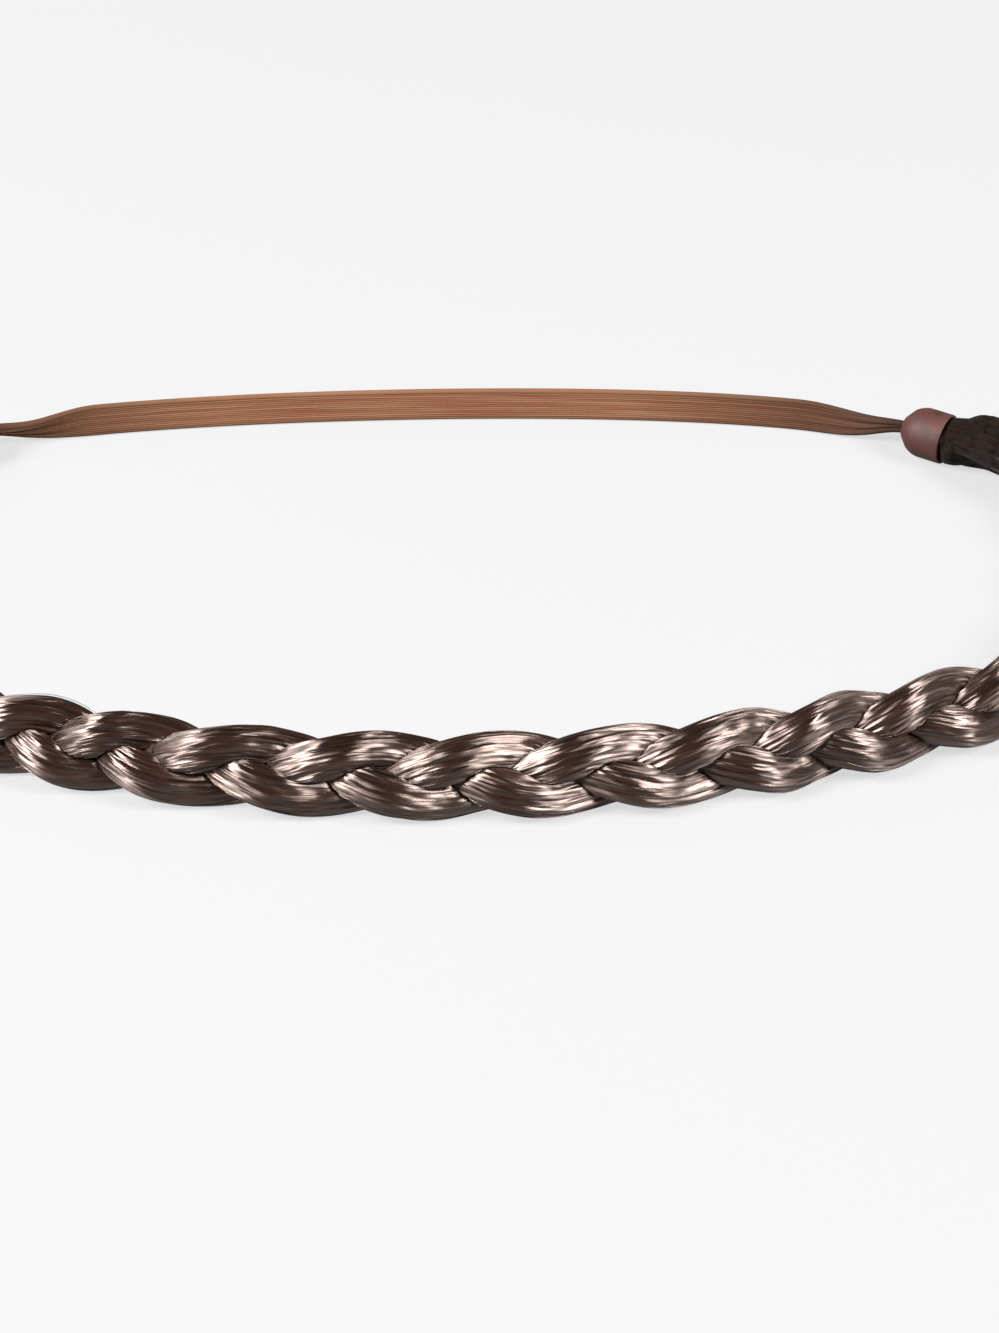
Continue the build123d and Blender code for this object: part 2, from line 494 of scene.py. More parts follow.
@dataclass(frozen=True)
class SyntheticHair:
    """Modacrylic hair fibre, extruded, dyed and combed.

    Its fine parallel fibres give bands of light across each lock, broken into streaks. Near the
    caps it has painted shade, a darker colour, and is rougher and hardly glossy. A real fibre
    is about 0.07 mm thick, too fine to show in the render, so fibre_width is three times as
    coarse.
    """

    shade: str = "060302"
    body: str = "110704"
    streak: str = "1c0e08"
    shade_places: tuple[float, float, float] = (0.25, 0.5, 0.78)
    # painted shade: share of the fibres' colour that is left near the caps
    cap_shade_factor: float = 0.45
    gloss: float = 0.75
    index: float = 1.55
    combing: float = 0.95
    glint: Colour = (1.0, 0.77, 0.68, 1.0)
    cap_glint: Colour = (0.03, 0.025, 0.022, 1.0)
    roughness: float = 0.36
    smoothest: float = -0.06
    roughest: float = 0.1
    cap_roughness: float = 0.24
    fibre_width: float = 0.22
    fibre_length: float = 8.4
    fibre_relief: float = 0.14
    fibre_bump: float = 0.9
    fibre_share: float = 0.5
    streak_width: float = 0.7
    streak_length: float = 14.0
    wander_width: float = 0.5
    wander_length: float = 3.6
    wander_relief: float = 0.8

    def build(self) -> Material:
        """Makes the material. Its texture runs along the lock in millimetres.

        Returns:
            The material.
        """
        material, tree = new_material("synthetic_hair_fibre")
        place = add_node(tree, "ShaderNodeUVMap", uv_map=FIBRE)
        # share of painted shade near the caps, which also lowers the gloss and raises the
        # roughness
        cap_shade_share = add_node(tree, "ShaderNodeAttribute", attribute_name=CAP_SHADE).outputs["Fac"]
        wide = self._streaks(tree, place, self.streak_width, self.streak_length)
        fine = self._streaks(tree, place, self.fibre_width, self.fibre_length)
        share = {0: wide, 1: self.fibre_share, 2: fine}
        both = add_node(tree, "ShaderNodeMath", share, operation="MULTIPLY_ADD")
        glints = {0: cap_shade_share, 6: self.glint, 7: self.cap_glint}
        combed = {"Height": both, "Strength": self.fibre_bump, "Distance": self.fibre_relief * MM}
        wander = {
            "Height": self._streaks(tree, place, self.wander_width, self.wander_length, 1.0),
            "Normal": add_node(tree, "ShaderNodeBump", combed),
            "Distance": self.wander_relief * MM,
            "Strength": 1.0,
        }
        tangent = add_node(tree, "ShaderNodeTangent", direction_type="UV_MAP", uv_map=FIBRE)
        surface = {
            "Base Color": self._colour(tree, both, cap_shade_share),
            "Roughness": self._roughness(tree, fine, cap_shade_share),
            "Specular Tint": add_node(tree, "ShaderNodeMix", glints, data_type="RGBA").outputs[2],
            "Normal": add_node(tree, "ShaderNodeBump", wander),
            "Tangent": tangent,
            "Anisotropic": self.combing,
            "IOR": self.index,
            "Specular IOR Level": self.gloss,
        }
        shader = add_node(tree, "ShaderNodeBsdfPrincipled", surface)
        add_node(tree, "ShaderNodeOutputMaterial", {"Surface": shader})
        return material

    def _colour(self, tree: Tree, pattern: Node, cap_shade_share: Socket) -> Node:
        """Dark and lighter fibres side by side, darker still near the caps as painted shade.

        Args:
            tree: Node tree of the material.
            pattern: Noise of the fibres, whose mean lies that share over a half.
            cap_shade_share: Share of painted shade.

        Returns:
            The node that gives the colour.
        """
        middle = self.fibre_share / 2
        shift = add_node(tree, "ShaderNodeMath", {0: pattern, 1: middle}, operation="SUBTRACT")
        stops = tuple(zip(self.shade_places, (self.shade, self.body, self.streak)))
        colour = add_node(tree, "ShaderNodeValToRGB", {0: shift}, stops)
        # painted shade: near the caps the colour is darkened
        shades = {"Value": cap_shade_share, "To Min": 1.0, "To Max": self.cap_shade_factor}
        darkened = add_node(tree, "ShaderNodeMapRange", shades)
        both = {0: colour, 1: darkened}
        return add_node(tree, "ShaderNodeVectorMath", both, operation="MULTIPLY")

    def _roughness(self, tree: Tree, fine: Node, cap_shade_share: Socket) -> Node:
        """Roughness that differs from fibre to fibre and rises with the painted shade near the
        caps.

        Args:
            tree: Node tree of the material.
            fine: Noise of single fibres.
            cap_shade_share: Share of painted shade.

        Returns:
            The node that gives the roughness.
        """
        spread = {
            "Value": fine,
            "From Min": 0.2,
            "From Max": 0.8,
            "To Min": self.roughness + self.smoothest,
            "To Max": self.roughness + self.roughest,
        }
        raised = {0: cap_shade_share, 1: self.cap_roughness, 2: add_node(tree, "ShaderNodeMapRange", spread)}
        return add_node(tree, "ShaderNodeMath", raised, operation="MULTIPLY_ADD")

    @staticmethod
    def _streaks(
        tree: Tree, place: Node, width: float, length: float, detail: float = 2.0
    ) -> Node:
        """Noise drawn out along the fibres.

        Args:
            tree: Node tree of the material.
            place: Texture place in millimetres.
            width: Width of a streak.
            length: Length of a streak.
            detail: Octaves of finer noise on top.

        Returns:
            The node that gives the noise, from 0 to 1.
        """
        scale = {"Vector": place, "Scale": (1 / width, 1 / length, 1.0)}
        # A light streak and a dark one share a cell of the noise, so it is scaled by a half
        noise = {
            "Vector": add_node(tree, "ShaderNodeMapping", scale),
            "Scale": 0.5,
            "Detail": detail,
            "Roughness": 0.55,
        }
        return add_node(tree, "ShaderNodeTexNoise", noise, noise_dimensions="2D")


@dataclass(frozen=True)
class WovenElastic:
    """Covered rubber threads woven into a flat ribbon.

    Lengthwise ribs of yarn over each rubber thread, with a matt, slightly fuzzy surface. The
    yarn is darker along both edges. Painted shade darkens it towards the caps, most where it is
    drawn in.
    """

    yarn: str = "563927"
    light_yarn: str = "604432"
    red_yarn: str = "502a1c"
    edge: str = "452e1f"
    shade_places: tuple[float, float, float] = (0.3, 0.5, 0.72)
    edge_start: float = 0.7
    edge_full: float = 0.1
    edge_share: float = 0.7
    # painted shade towards the caps: darker with distance from a middle a little left of the
    # loop's, so the right side darkens sooner
    painted_shade_middle: float = -5.0
    painted_shade_from: float = 34.0
    painted_shade_full: float = 80.0
    painted_shade_factor: float = 0.2
    streaks_across: float = 2.2
    streaks_along: float = 0.035
    pick_spacing: float = 0.42
    pick_relief: float = 0.03
    pick_bump: float = 0.15
    roughness: float = 0.8
    gloss: float = 0.1
    fuzz: float = 0.1

    def build(self, width: float) -> Material:
        """Makes the material.

        Args:
            width: Width of the ribbon, by which the texture runs across it.

        Returns:
            The material.
        """
        material, tree = new_material("woven_elastic_yarn")
        place = add_node(tree, "ShaderNodeUVMap", uv_map=FIBRE)
        split = add_node(tree, "ShaderNodeSeparateXYZ", {0: place})
        scale = {"Vector": place, "Scale": (self.streaks_across, self.streaks_along, 1.0)}
        noise = {
            "Vector": add_node(tree, "ShaderNodeMapping", scale),
            "Scale": 1.0,
            "Detail": 3.0,
            "Roughness": 0.6,
        }
        streak = add_node(tree, "ShaderNodeTexNoise", noise, noise_dimensions="2D")
        stops = tuple(zip(self.shade_places, (self.red_yarn, self.yarn, self.light_yarn)))
        colour = add_node(tree, "ShaderNodeValToRGB", {0: streak}, stops)
        rim = {
            "Value": self._away(tree, split.outputs[0], width / 2),
            "From Min": width / 2 - self.edge_start,
            "From Max": width / 2 - self.edge_full,
            "To Max": self.edge_share,
        }
        dyes = {
            0: add_node(tree, "ShaderNodeMapRange", rim),
            6: colour,
            7: linear_colour(self.edge),
        }
        edged = add_node(tree, "ShaderNodeMix", dyes, data_type="RGBA").outputs[2]
        # painted shade: the colour darkens with distance along x from that middle towards either
        # cap
        where = add_node(tree, "ShaderNodeTexCoord").outputs["Object"]
        aside = add_node(tree, "ShaderNodeSeparateXYZ", {0: where})
        painted_shade = {
            "Value": self._away(tree, aside.outputs[0], self.painted_shade_middle * MM),
            "From Min": self.painted_shade_from * MM,
            "From Max": self.painted_shade_full * MM,
            "To Min": 1.0,
            "To Max": self.painted_shade_factor,
        }
        dimmed = {0: edged, 1: add_node(tree, "ShaderNodeMapRange", painted_shade)}
        turns = {0: split.outputs[1], 1: 2 * math.pi / self.pick_spacing}
        picks = add_node(tree, "ShaderNodeMath", turns, operation="MULTIPLY")
        relief = {
            "Height": add_node(tree, "ShaderNodeMath", {0: picks}, operation="SINE"),
            "Strength": self.pick_bump,
            "Distance": self.pick_relief * MM,
        }
        surface = {
            "Base Color": add_node(tree, "ShaderNodeVectorMath", dimmed, operation="MULTIPLY"),
            "Normal": add_node(tree, "ShaderNodeBump", relief),
            "Roughness": self.roughness,
            "Specular IOR Level": self.gloss,
            "Sheen Weight": self.fuzz,
            "Sheen Tint": linear_colour(self.light_yarn),
        }
        shader = add_node(tree, "ShaderNodeBsdfPrincipled", surface)
        add_node(tree, "ShaderNodeOutputMaterial", {"Surface": shader})
        return material

    @staticmethod
    def _away(tree: Tree, source: Socket, middle: float) -> Node:
        """Distance of a place from a middle, to either side.

        Args:
            tree: Node tree of the material.
            source: The place.
            middle: The middle, in the same unit.

        Returns:
            The node that gives the distance.
        """
        shifted = add_node(tree, "ShaderNodeMath", {0: source, 1: middle}, operation="SUBTRACT")
        return add_node(tree, "ShaderNodeMath", {0: shifted}, operation="ABSOLUTE")


@dataclass(frozen=True)
class TintedPlastic:
    """Soft tinted PVC, dip moulded, so it is satin, lets some light through and is uneven."""

    tint: str = "4c2720"
    deep: str = "3a1c16"
    shade_places: tuple[float, float] = (0.35, 0.65)
    clouds_per_metre: float = 350.0
    relief: float = 0.15
    bump: float = 0.25
    roughness: float = 0.65
    index: float = 1.38
    gloss: float = 0.15
    clearness: float = 0.6

    def build(self) -> Material:
        """Makes the material.

        Returns:
            The material.
        """
        material, tree = new_material("tinted_pvc_cap")
        place = add_node(tree, "ShaderNodeTexCoord").outputs["Object"]
        clouds = {"Vector": place, "Scale": self.clouds_per_metre, "Detail": 2.0}
        cloud = add_node(tree, "ShaderNodeTexNoise", clouds)
        stops = tuple(zip(self.shade_places, (self.deep, self.tint)))
        relief = {"Height": cloud, "Strength": self.bump, "Distance": self.relief * MM}
        surface = {
            "Base Color": add_node(tree, "ShaderNodeValToRGB", {0: cloud}, stops),
            "Normal": add_node(tree, "ShaderNodeBump", relief),
            "Roughness": self.roughness,
            "IOR": self.index,
            "Specular IOR Level": self.gloss,
            "Transmission Weight": self.clearness,
        }
        shader = add_node(tree, "ShaderNodeBsdfPrincipled", surface)
        add_node(tree, "ShaderNodeOutputMaterial", {"Surface": shader})
        return material


@dataclass(frozen=True)
class LightTable:
    """Pale acrylic sheet lit from below, so that shadows on it are faint."""

    face: str = "f6f6f6"
    light: str = "ffffff"
    glow: float = 0.95
    lamp: float = 0.68

    def build(self) -> Material:
        """Makes the material.

        Returns:
            The material.
        """
        material, tree = new_material("pale_acrylic_sheet")
        face = {"Color": linear_colour(self.face)}
        lamp = {"Color": linear_colour(self.light), "Strength": self.lamp}
        mixed = {
            0: self.glow,
            1: add_node(tree, "ShaderNodeBsdfDiffuse", face),
            2: add_node(tree, "ShaderNodeEmission", lamp),
        }
        shader = add_node(tree, "ShaderNodeMixShader", mixed)
        add_node(tree, "ShaderNodeOutputMaterial", {"Surface": shader})
        return material


@dataclass
class HairLock:
    """One strand of the plait: a lock of fibres that is pressed flat where it meets the others."""

    plaiting: Plaiting
    strand: Strand
    columns: int = 176
    ring_step: float = 1.0
    grip: float = 3.0
    swell: float = 1.02
    flatness: float = 9.0
    gap: float = 0.06
    clump_depth: float = 0.08
    clump_run: tuple[float, float] = (9.0, 4.5)
    clump_mean: float = 0.8
    kink_depth: float = 0.1
    kink_run: tuple[float, float] = (2.5, 3.0)
    fibre_depth: float = 0.035
    fibre_run: tuple[float, float] = (5.0, 1.3)
    calm: float = 0.85
    # painted shade near each cap: how far it runs up the lock, and how ragged and soft its edge is
    cap_shade_run: float = 18.0
    cap_shade_spread: float = 1.5
    cap_shade_fade: float = 8.0
    cap_shade_streak: tuple[float, float] = (9.0, 1.5)
    relief_seed: int = 11
    cap_shade_seed: int = 51
    surface: np.ndarray = field(init=False)
    normals: np.ndarray = field(init=False)
    distances: np.ndarray = field(init=False)

    def __post_init__(self) -> None:
        """Works out the lock's surface."""
        reach = self.plaiting.plan.half_length + self.grip
        self.distances = np.linspace(-reach, reach, round(2 * reach / self.ring_step) + 1)
        self.surface = self._surface()
        self.normals = self._normals(self.surface)

    def _surface(self) -> np.ndarray:
        """Surface of the lock, with its relief, pressed flat against the other two.

        Returns:
            Points in millimetres, by ring and column.
        """
        drawn = self.plaiting.drawn(self.distances)
        turn = self.plaiting.turn(self.distances)
        centre_u, centre_n = self.plaiting.centre(turn + self.strand.value, drawn)
        half_u, half_n = self.plaiting.halves(drawn)
        angle = np.linspace(0, 2 * math.pi, self.columns, endpoint=False)
        press = np.full((len(turn), self.columns), self.swell**-self.flatness)
        for ahead in (Strand.B.value, Strand.C.value):
            other_u, other_n = self.plaiting.centre(turn + self.strand.value + ahead, drawn)
            apart_u = ((other_u - centre_u) / half_u)[:, None]
            apart_n = ((other_n - centre_n) / half_n)[:, None]
            towards = np.maximum(np.cos(angle) * apart_u + np.sin(angle) * apart_n, 0.0)
            press += (2 * towards / (apart_u**2 + apart_n**2)) ** self.flatness
        size = press ** (-1 / self.flatness)
        reach = np.hypot(half_u[:, None] * np.cos(angle), half_n[:, None] * np.sin(angle))
        relief = self._combed() * (1 - self.calm * drawn)[:, None]
        size += (relief - self.gap / 2) / reach
        across = centre_u[:, None] + size * half_u[:, None] * np.cos(angle)
        out = centre_n[:, None] + size * half_n[:, None] * np.sin(angle)
        return self.plaiting.laid_out(self.distances, across, out)

    def _combed(self) -> np.ndarray:
        """Relief of the lock: clumps of fibres, their kinks, and fine fibres on top.

        Returns:
            Height in millimetres, by ring and column.
        """
        seed = self.relief_seed + self.strand.value
        shape = (len(self.distances), self.columns)
        clump = np.abs(combed_noise(seed, *shape, *self.clump_run)) - self.clump_mean
        kink = combed_noise(seed + 2, *shape, *self.kink_run)
        fibre = combed_noise(seed + 1, *shape, *self.fibre_run)
        return self.clump_depth * clump + self.kink_depth * kink + self.fibre_depth * fibre

    @staticmethod
    def _normals(surface: np.ndarray) -> np.ndarray:
        """Outward normals of a surface.

        Args:
            surface: Points by ring and column.

        Returns:
            Unit vectors, by ring and column.
        """
        along = np.gradient(surface, axis=0)
        around = np.roll(surface, -1, axis=1) - np.roll(surface, 1, axis=1)
        normal = np.cross(around, along)
        normal /= np.linalg.norm(normal, axis=-1, keepdims=True)
        middle = surface.mean(axis=1, keepdims=True)
        facing = np.sum(normal * (surface - middle), axis=(-1, -2))
        return normal * np.sign(facing)[:, None, None]

    def build(self) -> Part:
        """Makes the lock's mesh.

        Returns:
            The lock.
        """
        rings = len(self.distances)
        lengths = np.linalg.norm(np.diff(self.surface.mean(axis=1), axis=0), axis=-1)
        along = np.concatenate([[0.0], np.cumsum(lengths)])
        around = np.linalg.norm(
            np.roll(self.surface, -1, axis=1) - self.surface, axis=-1
        ).sum(axis=1)
        return make_mesh(
            f"hair_lock_{self.strand.letter}",
            self.surface.reshape(-1, 3) * MM,
            ring_quads(rings, self.columns),
            round_uvs(self.columns, float(around.mean()), along),
            end_faces(rings, self.columns),
            self._cap_shade_shares(),
        )

    def _cap_shade_shares(self) -> np.ndarray:
        """Share of painted shade in the hair near each cap. It runs up each streak by its own
        length.

        Returns:
            Share from 0 to 1, by ring and column.
        """
        seed = self.cap_shade_seed + self.strand.value
        streaks = combed_noise(seed, len(self.distances), self.columns, *self.cap_shade_streak)
        run = self.cap_shade_run + self.cap_shade_spread * streaks
        near = self.plaiting.plan.half_length - np.abs(self.distances)
        return ease((run - near[:, None]) / self.cap_shade_fade + 0.5)


@dataclass
class GatheredHair:
    """The compact core of hair that fills the cap and the notches between the strands there."""

    plaiting: Plaiting
    side: Side
    columns: int = 96
    ring_step: float = 0.5
    grip: float = 4.0
    fibre_depth: float = 0.05
    fibre_run: tuple[float, float] = (6.0, 1.6)
    seed: int = 31
    # distance out of the cap, then half width and half depth as shares of the bundle's radius
    profile: tuple[tuple[float, float, float], ...] = (
        (-4.0, 1.0, 1.0),
        (0.0, 1.0, 1.0),
        (1.0, 1.12, 1.12),
        (2.5, 1.17, 1.13),
        (5.0, 1.2, 0.98),
        (8.0, 1.1, 0.7),
        (11.0, 0.5, 0.25),
    )

    def build(self) -> Part:
        """Makes the core's mesh.

        Returns:
            The core.
        """
        rows = np.array(self.profile)
        rings = round((rows[-1, 0] + self.grip) / self.ring_step) + 1
        away = np.linspace(-self.grip, rows[-1, 0], rings)
        distance = self.side.value * (self.plaiting.plan.half_length - away)
        radius = self.plaiting.bundle_radius
        half_u = np.interp(away, rows[:, 0], rows[:, 1])[:, None] * radius
        half_n = np.interp(away, rows[:, 0], rows[:, 2])[:, None] * radius
        seed = self.seed + self.side.value
        fibre = combed_noise(seed, rings, self.columns, *self.fibre_run)
        lift = self.fibre_depth * (fibre - 1.0)
        angle = np.linspace(0, 2 * math.pi, self.columns, endpoint=False)
        across = (half_u + lift) * np.cos(angle)
        outward = (half_n + lift) * np.sin(angle)
        return make_mesh(
            f"gathered_hair_{self.side.name.lower()}",
            self.plaiting.laid_out(distance, across, outward).reshape(-1, 3) * MM,
            ring_quads(rings, self.columns),
            round_uvs(self.columns, 2 * math.pi * radius, away),
            end_faces(rings, self.columns),
            # painted shade over the whole core
            np.ones((rings, self.columns)),
        )


@dataclass
class LooseHairs:
    """Single fibres that lie a little proud of a lock, not quite along it."""

    lock: HairLock
    count: int = 260
    radius: float = 0.055
    lift: float = 0.09
    sink: float = 0.02
    stray_lift: float = 0.3
    stray_least: float = 0.4
    stray_share: float = 0.05
    shortest: int = 14
    longest: int = 42
    drift: float = 5.0
    sway: float = 1.5
    sway_waves: tuple[float, float] = (1.0, 3.0)
    rise_power: float = 1.5
    thinnest: float = 0.7
    thickest: float = 1.2
    tip_share: float = 0.02
    round_length: float = 0.2
    texture_spread: float = 40.0
    end_rings: int = 22
    sides: int = 3
    seed: int = 101

    def build(self) -> Part:
        """Makes all the loose hairs of one lock as one mesh.

        Returns:
            The hairs.
        """
        random = np.random.default_rng(self.seed + self.lock.strand.value)
        points, quads, uvs, start = [], [], [], 0
        for _ in range(self.count):
            rings = self._hair(random)
            count = len(rings)
            points.append(rings.reshape(-1, 3))
            quads.append(ring_quads(count, self.sides) + start)
            shift = random.uniform(0.0, self.texture_spread)
            places = round_uvs(self.sides, self.round_length, np.arange(count) * 1.0)
            uvs.append(places + [shift, 0.0])
            start += count * self.sides
        return make_mesh(
            f"loose_hairs_{self.lock.strand.letter}",
            np.concatenate(points) * MM,
            np.concatenate(quads),
            np.concatenate(uvs),
            [],
        )

    def _hair(self, random: np.random.Generator) -> np.ndarray:
        """Rings of one hair, from tip to tip.

        Args:
            random: The seeded source of its place and form.

        Returns:
            Points by ring and side, in millimetres.
        """
        surface, normals = self.lock.surface, self.lock.normals
        length = int(random.integers(self.shortest, self.longest))
        first = int(random.integers(self.end_rings, len(surface) - length - self.end_rings))
        ring = np.arange(first, first + length)
        share = np.linspace(0, 1, length)
        column = random.uniform(0, self.lock.columns) + random.normal(0, self.drift) * share
        sway = random.normal(0, self.sway)
        column = column + sway * np.sin(share * math.pi * random.uniform(*self.sway_waves))
        low = np.floor(column).astype(int) % self.lock.columns
        high = (low + 1) % self.lock.columns
        part = (column - np.floor(column))[:, None]
        middle = surface[ring, low] * (1 - part) + surface[ring, high] * part
        normal = normals[ring, low] * (1 - part) + normals[ring, high] * part
        stray = random.uniform() < self.stray_share
        top = self.stray_lift * random.uniform(self.stray_least, 1.0) if stray else self.lift
        height = np.sin(share * math.pi) ** self.rise_power * top - self.sink
        middle = laid_down(middle + normal * height[:, None], self.radius)
        along = np.gradient(middle, axis=0)
        along /= np.linalg.norm(along, axis=-1, keepdims=True)
        beside = np.cross(along, normal)
        beside /= np.linalg.norm(beside, axis=-1, keepdims=True)
        above = np.cross(beside, along)
        tapered = self.tip_share + (1 - 2 * self.tip_share) * share
        thickness = self.radius * random.uniform(self.thinnest, self.thickest)
        radius = thickness * np.sqrt(np.sin(math.pi * tapered))
        angle = 2 * math.pi * np.arange(self.sides) / self.sides
        return (
            middle[:, None, :]
            + radius[:, None, None] * np.cos(angle)[None, :, None] * beside[:, None, :]
            + radius[:, None, None] * np.sin(angle)[None, :, None] * above[:, None, :]
        )


@dataclass
class ElasticRibbon:
    """The flat elastic between the caps, drawn in and twisted where it enters them."""

    plan: LoopPlan
    width: float = 6.0
    thickness: float = 1.0
    pinch_width: float = 2.0
    pinch_thickness: float = 1.5
    pinch_twist: float = 30.0
    taper_run: float = 17.0
    grip: float = 4.5
    handle_right: float = 30.0
    handle_left: float = 19.0
    floor_gap: float = 0.1
    corner_share: float = 0.9
    ribs: int = 13
    rib_depth: float = 0.07
    rib_middle: float = 0.6
    rib_fade: float = 0.5
    pucker: float = 0.22
    pucker_waves: float = 2.2
    face_columns: int = 78
    edge_columns: int = 6
    ring_step: float = 0.8
    heading_reach: float = 0.5
    bow_steps: int = 800
    taper_blend: float = 0.12
    blend_steps: int = 9
    # share of the taper, then shares of the change in width, thickness, twist and sag
    taper: tuple[tuple[float, float, float, float, float], ...] = (
        (0.0, 0.0, 0.0, 0.0, 0.0),
        (0.2, 0.14, 0.25, 0.1, 0.25),
        (0.45, 0.45, 0.6, 0.35, 0.7),
        (0.7, 0.77, 0.85, 0.7, 0.95),
        (1.0, 1.0, 1.0, 1.0, 1.0),
    )

    def _bow(self) -> tuple[np.ndarray, np.ndarray]:
        """Middle line of the ribbon in plan, with a straight stub into each cap.

        Returns:
            Points of the line, and the distance of each from the right cap's nose.
        """
        x, y, heading = self.plan.nose()
        pull = np.array([math.cos(heading), math.sin(heading)])
        mirror = np.array([-1.0, 1.0])
        nose = np.array([x, y])
        handles = [
            nose,
            nose + self.handle_right * pull,
            (nose + self.handle_left * pull) * mirror,
            nose * mirror,
        ]
        share = np.linspace(0, 1, self.bow_steps)[:, None]
        order = len(handles) - 1
        curve = sum(
            math.comb(order, i) * (1 - share) ** (order - i) * share**i * handle
            for i, handle in enumerate(handles)
        )
        stub = nose - self.grip * pull
        line = np.concatenate([[stub], curve, [stub * mirror]])
        steps = np.linalg.norm(np.diff(line, axis=0), axis=-1)
        distance = np.concatenate([[0.0], np.cumsum(steps)]) - self.grip
        return line, distance

    def _outline(self, width: float, thickness: float, fold: float) -> np.ndarray:
        """One section of the ribbon.

        Args:
            width: Width there.
            thickness: Thickness there.
            fold: Share by which the ribbon is puckered.

        Returns:
            Place across and out of the ribbon, for each column round it.
        """
        half_w, half_t = width / 2, thickness / 2
        corner = self.corner_share * half_t
        face = np.linspace(-1, 1, self.face_columns)
        rib = np.abs(np.cos(math.pi * self.ribs * (face + 1) / 2)) - self.rib_middle
        wave = np.sin(face * self.pucker_waves * math.pi) * self.pucker * fold
        front = half_t + self.rib_depth * rib * (1 - self.rib_fade * fold) + wave
        back = -half_t - self.rib_depth * rib * (1 - self.rib_fade * fold) + wave
        bend = np.linspace(0, math.pi, self.edge_columns + 2)[1:-1]
        top = np.stack([face * (half_w - corner), front], axis=-1)
        side = np.stack(
            [half_w - corner + corner * np.sin(bend), half_t * np.cos(bend) + wave[-1]], axis=-1
        )
        bottom = np.stack([face[::-1] * (half_w - corner), back[::-1]], axis=-1)
        other = np.stack(
            [-half_w + corner - corner * np.sin(bend), -half_t * np.cos(bend) + wave[0]], axis=-1
        )
        return np.concatenate([top, side, bottom, other])

    def build(self) -> Part:
        """Makes the ribbon's mesh.

        Returns:
            The ribbon.
        """
        line, distance = self._bow()
        total = distance[-1]
        flat_end = total - self.grip
        spots = np.linspace(-self.grip, total, round((total + self.grip) / self.ring_step))
        rows = np.array(self.taper)
        end_rise = self.plan.cap_radius
        rings = []
        for spot in spots:
            x, y = (np.interp(spot, distance, line[:, axis]) for axis in (0, 1))
            ahead = min(spot + self.heading_reach, total)
            behind = max(spot - self.heading_reach, -self.grip)
            step = [
                np.interp(ahead, distance, line[:, a]) - np.interp(behind, distance, line[:, a])
                for a in (0, 1)
            ]
            heading = math.atan2(step[1], step[0])
            near = max(min(spot, flat_end - spot), 0.0)
            shares = self._taper_shares(near / self.taper_run, rows)
            width = self.pinch_width + (self.width - self.pinch_width) * shares[0]
            thickness = self.pinch_thickness + (self.thickness - self.pinch_thickness) * shares[1]
            side = 1 if spot < flat_end / 2 else -1
            twist = math.radians(self.pinch_twist * (1 - shares[2]) * side)
            lying = width / 2 + self.floor_gap
            rise = end_rise + (lying - end_rise) * shares[3]
            outline = self._outline(width, thickness, 1 - shares[0])
            out = np.array([math.sin(heading), -math.cos(heading), 0.0])
            up = np.array([math.sin(twist) * out[0], math.sin(twist) * out[1], math.cos(twist)])
            away = np.array([math.cos(twist) * out[0], math.cos(twist) * out[1], -math.sin(twist)])
            rings.append(np.array([x, y, rise]) + outline[:, :1] * up + outline[:, 1:] * away)
        rings = np.array(rings)
        columns = rings.shape[1]
        return make_mesh(
            "woven_elastic",
            rings.reshape(-1, 3) * MM,
            ring_quads(len(spots), columns),
            self._uvs(spots),
            end_faces(len(spots), columns),
        )

    def _taper_shares(self, share: float, rows: np.ndarray) -> np.ndarray:
        """Shares of the change in width, thickness, twist and sag, smooth between the rows.

        Args:
            share: Share of the taper.
            rows: The taper table.

        Returns:
            The four shares.
        """
        nearby = np.linspace(-self.taper_blend, self.taper_blend, self.blend_steps)
        spread = np.clip(share + nearby, 0.0, 1.0)
        return np.array([np.interp(spread, rows[:, 0], rows[:, i]).mean() for i in (1, 2, 3, 4)])

    def _uvs(self, spots: np.ndarray) -> np.ndarray:
        """Texture places: across the ribbon on both faces, and along it.

        Args:
            spots: Distance of each ring.

        Returns:
            Place of the four corners of each face.
        """
        face = np.linspace(0, self.width, self.face_columns)
        across = np.concatenate(
            [face, np.full(self.edge_columns, self.width), face[::-1], np.zeros(self.edge_columns)]
        )
        return tube_uvs(across, np.roll(across, -1), spots)


